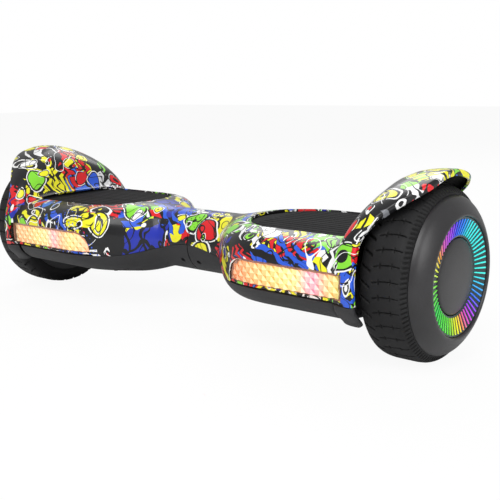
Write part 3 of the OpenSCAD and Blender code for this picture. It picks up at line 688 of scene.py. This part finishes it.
hue = add(tree, "ShaderNodeMix", {0: 0.5, 6: shade.outputs[2], 7: stain}, data_type="RGBA")
face = add(tree, "ShaderNodeBsdfPrincipled", {"Base Color": hue.outputs[2], "Roughness": 0.22,
                                              "Emission Color": hue.outputs[2], "Emission Strength": 0.68})
tree.links.new(face.outputs[0], surface)

cover = light_layer("light_cover_right", 0.35, 0.1, LENS_X1 - 0.4, 120, 24)
cover.data.materials.append(clear)
apply(cover, "SOLIDIFY", thickness=0.0012, offset=-1)
backing = light_layer("light_frame_right", 0.4, 4.0, LENS_X1 - 0.5, 100, 20)
apply(backing, "SOLIDIFY", thickness=0.0006, offset=-1)
step = light_layer("step", 0.5, 1.9, LENS_X1 - 0.6, 160, 26)
open_up(step, lens_outline(2.8), (0, 2), lambda p: p.y < -0.06, 1.2)
apply(step, "SOLIDIFY", thickness=0.0009, offset=-1)
backing = joined("light_frame_right", [backing, step])
backing.data.materials.append(frame_plastic)

# The insert's diamonds stand 1.5 mm proud: a lattice of centres and corners 5 mm apart
lattice = 5.0
first_x, last_x = 107.0, 237.0
lines = []
z_levels = np.linspace(LENS_Z0 + 2.6, LENS_Z1 - 2.6, 5)
count = int((last_x - first_x) / lattice)
xs = np.linspace(last_x, first_x, count + 1)
bpy.ops.mesh.primitive_grid_add(x_subdivisions=4, y_subdivisions=count, size=1)
insert = bpy.context.object
insert.name = insert.data.name = "light_insert_right"
raised = []
for i, x in enumerate(xs):
    for j, z in enumerate(z_levels):
        raised.append((i + j) % 2 == 0)
        depth = 1.35 if raised[-1] else 2.7
        y = float(front_of(np.float64(x), np.float64(z), depth))
        insert.data.vertices[i * 5 + j].co = Vector((x, y, z)) / 1000
shape = bmesh.new()
shape.from_mesh(insert.data)
shape.verts.ensure_lookup_table()
low = {v.index for v in shape.verts if not raised[v.index]}
for face_ in list(shape.faces):
    dips = [v for v in face_.verts if v.index in low]
    if len(face_.verts) == 4 and len(dips) == 2:
        bmesh.utils.face_split(face_, dips[0], dips[1])
# the inner end is trimmed to the frame's curve
gone = [f for f in shape.faces
        if f.calc_center_median().x * 1000 < lens_inner_end(np.float64(f.calc_center_median().z * 1000), 2.4)]
bmesh.ops.delete(shape, geom=gone, context="FACES")
shape.normal_update()
if sum(f.normal.y for f in shape.faces) > 0:
    bmesh.ops.reverse_faces(shape, faces=shape.faces)
shape.to_mesh(insert.data)
shape.free()
insert.data.materials.append(glowing)
apply(insert, "SOLIDIFY", thickness=0.0006, offset=-1)
for piece, record_slot in ((cover, "light_lens"), (backing, "light_lens"), (insert, "light_lens")):
    if piece is not insert:
        smoothed(piece, 40)
    twin = other_side(piece, piece.name.replace("right", "left"))
    finish_piece(piece, "right_half", record_slot)
    finish_piece(twin, "left_half", record_slot)
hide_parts("light_lens_right")
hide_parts("light_lens_left")

# ---------------------------------------------------------------- foot pads
# Moulded rubber treads with ribs along the board. Each sinks 2 mm under a foot,
# onto the plungers that wake its half of the board.

def rubber(name, low, high, roughness, grain_mm):
    """Moulded black rubber: dull, with a faint bloom and a fine pitted grain."""
    mat, tree, surface = blank(name)
    place = add(tree, "ShaderNodeTexCoord").outputs["Object"]
    bloom = add(tree, "ShaderNodeTexNoise", {"Vector": place, "Scale": 22.0, "Detail": 5.0, "Roughness": 0.6})
    pits = add(tree, "ShaderNodeTexNoise", {"Vector": place, "Scale": 1000 / grain_mm, "Detail": 3.0})
    tone = ramp(tree, bloom.outputs[0], [(0.35, low), (0.7, high)])
    rough = add(tree, "ShaderNodeMapRange", {0: pits.outputs[0], 3: roughness - 0.08, 4: roughness + 0.08})
    bump = add(tree, "ShaderNodeBump", {"Height": pits.outputs[0], "Strength": 0.35, "Distance": 0.0002})
    face = add(tree, "ShaderNodeBsdfPrincipled", {"Base Color": tone, "Roughness": rough.outputs[0],
                                                  "Normal": bump.outputs[0], "IOR": 1.52,
                                                  "Specular IOR Level": 0.2})
    tree.links.new(face.outputs[0], surface)
    return mat


def worked_copy(node, name, width, segments=2, angle=40):
    """A copy of a CAD part, merged, with its edges broken as a mould or a lathe leaves them."""
    source = frame["nodes"][node]
    piece = bpy.data.objects.new(name, source.data.copy())
    piece.data.name = name
    scene.collection.objects.link(piece)
    piece.data.materials.clear()
    mesh = bmesh.new()
    mesh.from_mesh(piece.data)
    bmesh.ops.remove_doubles(mesh, verts=mesh.verts, dist=0.000005)
    bmesh.ops.dissolve_limit(mesh, angle_limit=math.radians(0.6), verts=mesh.verts, edges=mesh.edges)
    mesh.to_mesh(piece.data)
    mesh.free()
    apply(piece, "BEVEL", width=width, segments=segments, limit_method="ANGLE", angle_limit=math.radians(angle))
    smoothed(piece, 35)
    return piece


pad_rubber = rubber("ribbed_pad_rubber", "#08080A", "#0F0F11", 0.85, 0.8)
for side in ("left", "right"):
    pad = worked_copy("foot_pad_" + side, "foot_tread_" + side, 0.0004)
    pad.data.materials.append(pad_rubber)
    finish_piece(pad, "foot_pad_" + side, "foot_rubber", "foot_pad_" + side)

# ---------------------------------------------------------------- tyres
# Solid 165 mm rubber tyres. The tread has curved cross sipes every 14 mm, two rows of short
# ticks, slanting wider cuts on the inner half and small teeth round the outer shoulder.

tyre_rubber = rubber("solid_tyre_rubber", "#161617", "#222223", 0.6, 0.9)
tree = tyre_rubber.node_tree
rubber_face = next(n for n in tree.nodes if n.type == "BSDF_PRINCIPLED")
plain = rubber_face.inputs["Base Color"].links[0].from_socket
# Painted shade: the tread colour turns near black where it is cut deeper into the sipes and grooves
cut_in = add(tree, "ShaderNodeAttribute", attribute_name="groove")
groove_painted_shade = add(tree, "ShaderNodeMix", {0: cut_in.outputs["Fac"], 6: plain, 7: linear("#050505")}, data_type="RGBA")
tree.links.new(groove_painted_shade.outputs[2], rubber_face.inputs["Base Color"])
outline = [(65, 251), (70, 249.5), (72.5, 249), (77.5, 250.3), (80.5, 253), (81.9, 257), (82.5, 262), (82.5, 283),
           (81.9, 288), (80.1, 292), (77, 295), (74.5, 296), (68, 295.5), (65, 294), (65, 251)]
fine = []
for (r0, x0), (r1, x1) in zip(outline, outline[1:]):
    span = math.hypot(r1 - r0, x1 - x0)
    count = max(1, round(span / 0.85)) if max(r0, r1) > 74 else 2
    fine += [(r0 + (r1 - r0) * k / count, x0 + (x1 - x0) * k / count) for k in range(count)]
fine.append(outline[-1])
fine = np.array(fine)
for _ in range(3):
    fine[1:-3] = 0.5 * fine[1:-3] + 0.25 * (fine[:-4] + fine[2:-2])
turns = 864
theta = np.linspace(0, 2 * math.pi, turns + 1)[:, None]
radius, across = fine[None, :, 0], fine[None, :, 1]


def groove(distance, half_width, soft=0.45):
    """1 in the groove, 0 outside it, with a short slope between them (all in mm)."""
    return np.clip((half_width + soft - np.abs(distance)) / soft, 0, 1)


def wrapped(value, pitch):
    return (value + pitch / 2) % pitch - pitch / 2


arc = theta * AXLE
sipe_pitch = 2 * math.pi * AXLE / 37
curve = 0.010 * (across - 281) ** 2 - 0.9
depth = np.zeros((turns + 1, len(fine)))
on_outer = np.clip((across - 264.5) / 0.8, 0, 1) * np.clip((290.5 - across) / 0.8, 0, 1)
depth = np.maximum(depth, 1.1 * groove(wrapped(arc - curve, sipe_pitch), 0.25, 0.4) * on_outer)
for column in (271.5, 283.0):
    tick = groove(across - column, 0.4) * groove(wrapped(arc - curve, sipe_pitch), 2.2)
    depth = np.maximum(depth, 1.0 * tick)
slant = arc - (across - 252) * 0.55
on_inner = np.clip((across - 251.5) / 1.0, 0, 1) * np.clip((263.5 - across) / 0.8, 0, 1)
depth = np.maximum(depth, 1.7 * groove(wrapped(slant, sipe_pitch), 0.9) * on_inner)
tooth_pitch = 2 * math.pi * AXLE / 111
on_edge = np.clip((across - 291.6) / 0.5, 0, 1) * np.clip((295.6 - across) / 0.4, 0, 1)
depth = np.maximum(depth, 1.3 * groove(wrapped(arc + (across - 291) * 0.35, tooth_pitch), 0.7, 0.35) * on_edge)
depth *= np.where(radius > 75.5, 1, 0)
r = radius - depth
rows = np.stack([np.broadcast_to(across, r.shape), r * np.cos(theta), AXLE + r * np.sin(theta)], axis=2)
tyre = sheet_of("tyre_tread_right", rows)
# the depth of each cut, kept for the painted shade in the grooves
tyre.data.attributes.new("groove", "FLOAT", "POINT").data.foreach_set(
    "value", np.clip(depth / 0.8, 0, 1).astype(np.float32).ravel())
bpy.ops.object.mode_set(mode="EDIT")
bpy.ops.mesh.select_all(action="SELECT")
bpy.ops.mesh.remove_doubles(threshold=0.00001)
bpy.ops.object.mode_set(mode="OBJECT")
tyre.data.materials.append(tyre_rubber)
tyre.name = tyre.data.name = "tyre_tread_right"
smoothed(tyre, 50)
twin = other_side(tyre, "tyre_tread_left")
finish_piece(tyre, "wheel_right", "tyre_rubber", "tyre_right")
finish_piece(twin, "wheel_left", "tyre_rubber", "tyre_left")

# ---------------------------------------------------------------- wheel trims and centre caps
# A smooth satin cone of ABS covers the motor outside the tyre, with a rounded rim round
# the lit ring. The domed cap in its middle is the same plastic.

trim_plastic = matte_abs("satin_black_abs", "#1B1A1B", "#242325", 0.38, 0.5)
CONE = [(74, 296.2), (73.6, 297.6), (72.6, 299.9), (70.6, 302.3), (67.6, 304.9), (64.2, 307.2), (61.2, 308.9),
        (59.2, 309.9), (57.8, 310.4), (56.6, 310.5), (55.7, 310.2), (55.1, 309.4), (55, 308.4), (55, 291.2),
        (57, 291.2), (57.5, 306.5), (63, 303.4), (68, 299), (66, 296.2)]
trim = turned("wheel_cone_right", CONE, 240)
trim.data.materials.append(trim_plastic)
smoothed(trim, 40)
CAP = [(35.6, 291.2), (35.6, 302.6), (35.3, 303.5), (34.7, 304.1), (33.6, 304.5), (31.6, 304.9), (27, 305.4),
       (20, 306), (12, 306.35), (4, 306.5), (0, 306.5), (0, 304.5), (33, 302.4), (33, 291.2)]
cap = turned("centre_dome_right", CAP, 200)
cap.data.materials.append(trim_plastic)
smoothed(cap, 40)

# ---------------------------------------------------------------- lit rings
# A dark funnel of tinted plastic between cap and cone, with sixty clear bars moulded on it.
# Light from behind gives each bar a colour that changes round the clock.

funnel_plastic = matte_abs("tinted_ring_plastic", "#061C1E", "#0B3033", 0.25, 1.5)
FUNNEL = [(36, 291.2), (36, 302.9), (36.4, 303.5), (54.4, 308.2), (54.8, 308.0), (54.8, 291.2),
          (52.8, 291.2), (52.8, 306), (38, 301.7), (38, 291.2)]
funnel = turned("ring_funnel_right", FUNNEL, 200)
funnel.data.materials.append(funnel_plastic)
smoothed(funnel, 30)

lit_bar, tree, surface = blank("backlit_ring_bars")
place = add(tree, "ShaderNodeTexCoord").outputs["Object"]
split = add(tree, "ShaderNodeSeparateXYZ", {0: place})
height = add(tree, "ShaderNodeMath", {0: split.outputs[2], 1: AXLE / 1000}, operation="SUBTRACT")
clock = add(tree, "ShaderNodeMath", {0: split.outputs[1], 1: height.outputs[0]}, operation="ARCTAN2")
hour = add(tree, "ShaderNodeMapRange", {0: clock.outputs[0], 1: -math.pi, 2: math.pi})
# inks by the clock: 12 is at the top, 6 and 18 at the bottom
hours = [(6.0, "#E8E22A"), (6.7, "#5CC832"), (8.0, "#2FC04A"), (9.0, "#6CD23A"), (9.6, "#D6DC3A"),
         (10.2, "#E08A3C"), (10.6, "#C94CB4"), (11.3, "#8C3CE0"), (11.7, "#3A4AE0"), (12.3, "#2A86E6"),
         (12.8, "#36D6D6"), (15.2, "#3ADCD0"), (15.8, "#2E9BE0"), (16.3, "#3A55DC"), (16.8, "#A13CE0"),
         (17.3, "#D64CB0"), (17.6, "#E0785C"), (17.85, "#E8D03A")]
wheel_of = ramp(tree, hour.outputs[0], [((at - 6) / 12, ink) for at, ink in hours])
haze = add(tree, "ShaderNodeTexNoise", {"Vector": place, "Scale": 160.0, "Detail": 1.0})
level_of = add(tree, "ShaderNodeMapRange", {0: haze.outputs[0], 3: 0.18, 4: 0.3})
face = add(tree, "ShaderNodeBsdfPrincipled", {"Base Color": wheel_of, "Roughness": level_of.outputs[0],
                                              "Emission Color": wheel_of, "Emission Strength": 0.45})
tree.links.new(face.outputs[0], surface)

bpy.ops.mesh.primitive_cube_add(size=1, location=(0, 0, 0))
bars = bpy.context.object
bars.name = bars.data.name = "ring_bars_right"
corners = {(-1, -1): (37.8, 0.55), (1, -1): (37.8, -0.55), (-1, 1): (53.0, 0.82), (1, 1): (53.0, -0.82)}
for v in bars.data.vertices:
    r, y = corners[(1 if v.co.y > 0 else -1, 1 if v.co.z > 0 else -1)]
    y += (r - 45) * 0.10
    base = 303.8 + (r - 36.4) / 18.0 * 4.7
    v.co = Vector((base + (0.65 if v.co.x > 0 else -0.6), y, AXLE + r)) / 1000
bpy.ops.object.mode_set(mode="EDIT")
bpy.ops.mesh.select_all(action="SELECT")
bpy.ops.mesh.normals_make_consistent(inside=False)
bpy.ops.mesh.bevel(offset=0.0004, segments=2, affect="EDGES")
bpy.ops.mesh.select_all(action="SELECT")
bpy.ops.mesh.spin(steps=59, angle=2 * math.pi * 59 / 60, center=(0, 0, AXLE / 1000), axis=(1, 0, 0), dupli=True)
bpy.ops.mesh.select_all(action="SELECT")
bpy.ops.mesh.normals_make_consistent(inside=False)
bpy.ops.object.mode_set(mode="OBJECT")
bars.data.materials.append(lit_bar)
smoothed(bars, 40)
for piece, record_slot, node in ((trim, "wheel_plastic", "wheel_trim_"), (cap, "wheel_plastic", "centre_cap_"),
                                 (funnel, "lit_ring", "led_ring_"), (bars, "lit_ring", None)):
    twin = other_side(piece, piece.name.replace("right", "left"))
    finish_piece(piece, "wheel_right", record_slot, *([node + "right"] if node else []))
    finish_piece(twin, "wheel_left", record_slot, *([node + "left"] if node else []))

# ---------------------------------------------------------------- screws and rear fittings
# Blackened cross-head screws hold the shells. The charge port, its rubber cap and the
# power button sit in round bosses at the rear of the left half.


def metal(name, low, high, roughness, grain_mm, metallic=1.0):
    """Bare or treated metal: a fine directionless grain in its tone and its gloss."""
    mat, tree, surface = blank(name)
    place = add(tree, "ShaderNodeTexCoord").outputs["Object"]
    grain = add(tree, "ShaderNodeTexNoise", {"Vector": place, "Scale": 1000 / grain_mm, "Detail": 4.0})
    tone = ramp(tree, grain.outputs[0], [(0.3, low), (0.7, high)])
    rough = add(tree, "ShaderNodeMapRange", {0: grain.outputs[0], 3: roughness - 0.07, 4: roughness + 0.07})
    bump = add(tree, "ShaderNodeBump", {"Height": grain.outputs[0], "Strength": 0.2, "Distance": 0.0001})
    face = add(tree, "ShaderNodeBsdfPrincipled", {"Base Color": tone, "Roughness": rough.outputs[0],
                                                  "Normal": bump.outputs[0], "Metallic": metallic})
    tree.links.new(face.outputs[0], surface)
    return mat


fitting_black = matte_abs("fitting_nylon", "#0E0E0F", "#18181A", 0.45, 0.6)
cap_rubber = rubber("cap_rubber", "#0F0F10", "#1A1A1B", 0.62, 0.6)
button_red = matte_abs("red_button_abs", "#7A0F12", "#8E1417", 0.3, 1.5)
screw_black = metal("blackened_steel", "#17171A", "#26262A", 0.42, 0.5)
for node, name, body, record_slot, paint, width in (
        ("charge_cap", "port_cap", "charge_cap", "foot_rubber", cap_rubber, 0.0005),
        ("charge_socket", "port_socket", "left_half", "fitting_plastic", fitting_black, 0.0004),
        ("power_button", "push_button", "power_button", "button_plastic", button_red, 0.0007),
        ("shell_screws_left", "screws_left", "left_half", "black_screw", screw_black, 0.0002),
        ("shell_screws_right", "screws_right", "right_half", "black_screw", screw_black, 0.0002)):
    piece = worked_copy(node, name, width)
    piece.data.materials.append(paint)
    finish_piece(piece, body, record_slot, node)

# ---------------------------------------------------------------- working parts inside
# The frames, motors, battery, boards and wiring keep their made shapes and get the
# finish of their own material.


def board_green():
    """Green solder mask over copper tracks: thin darker lines in a coarse grid."""
    mat, tree, surface = blank("solder_masked_board")
    place = add(tree, "ShaderNodeTexCoord").outputs["Object"]
    tracks = add(tree, "ShaderNodeTexBrick", {"Vector": place, "Scale": 90.0, "Mortar Size": 0.03,
                                              "Color1": linear("#0E5A34"), "Color2": linear("#11663A"),
                                              "Mortar": linear("#0A3F26")})
    face = add(tree, "ShaderNodeBsdfPrincipled", {"Base Color": tracks.outputs[0], "Roughness": 0.35})
    tree.links.new(face.outputs[0], surface)
    return mat


finishes = {"lower_shell": lower_plastic, "printed_shell": film, "light_lens": frame_plastic,
            "light_tray": matte_abs("white_reflector_plastic", "#DADAD6", "#E8E8E4", 0.3),
            "circuit_board": board_green(), "cast_frame": metal("cast_aluminium", "#8E9093", "#A7A9AC", 0.5, 1.2),
            "battery_wrap": matte_abs("blue_shrink_wrap", "#123C86", "#1A4C9C", 0.3, 2.0),
            "steel": metal("ground_steel", "#9A9B9E", "#B4B5B8", 0.3, 0.4), "black_screw": screw_black,
            "stator_steel": metal("laminated_steel", "#6A6B70", "#85868A", 0.4, 0.5),
            "copper_wire": metal("enamelled_copper", "#9C4A1E", "#C4692F", 0.3, 0.6),
            "magnet": metal("nickel_plated_magnet", "#A2A3A8", "#BDBEC2", 0.25, 0.5),
            "cable_jacket": rubber("cable_jacket", "#101011", "#1A1A1B", 0.5, 0.7),
            "bronze_bush": metal("sintered_bronze", "#8A6230", "#A87C40", 0.45, 0.4), "foot_rubber": pad_rubber,
            "tyre_rubber": tyre_rubber, "hub_casting": metal("painted_casting", "#232426", "#303134", 0.45, 0.9, 0.0),
            "wheel_plastic": trim_plastic, "lit_ring": funnel_plastic, "fitting_plastic": fitting_black,
            "button_plastic": button_red}
slot_of = {part["node"]: part["material_slot"] for part in frame["record"]["subparts"]}
for name, node in frame["nodes"].items():
    node.data.materials.clear()
    node.data.materials.append(finishes[slot_of[name]])
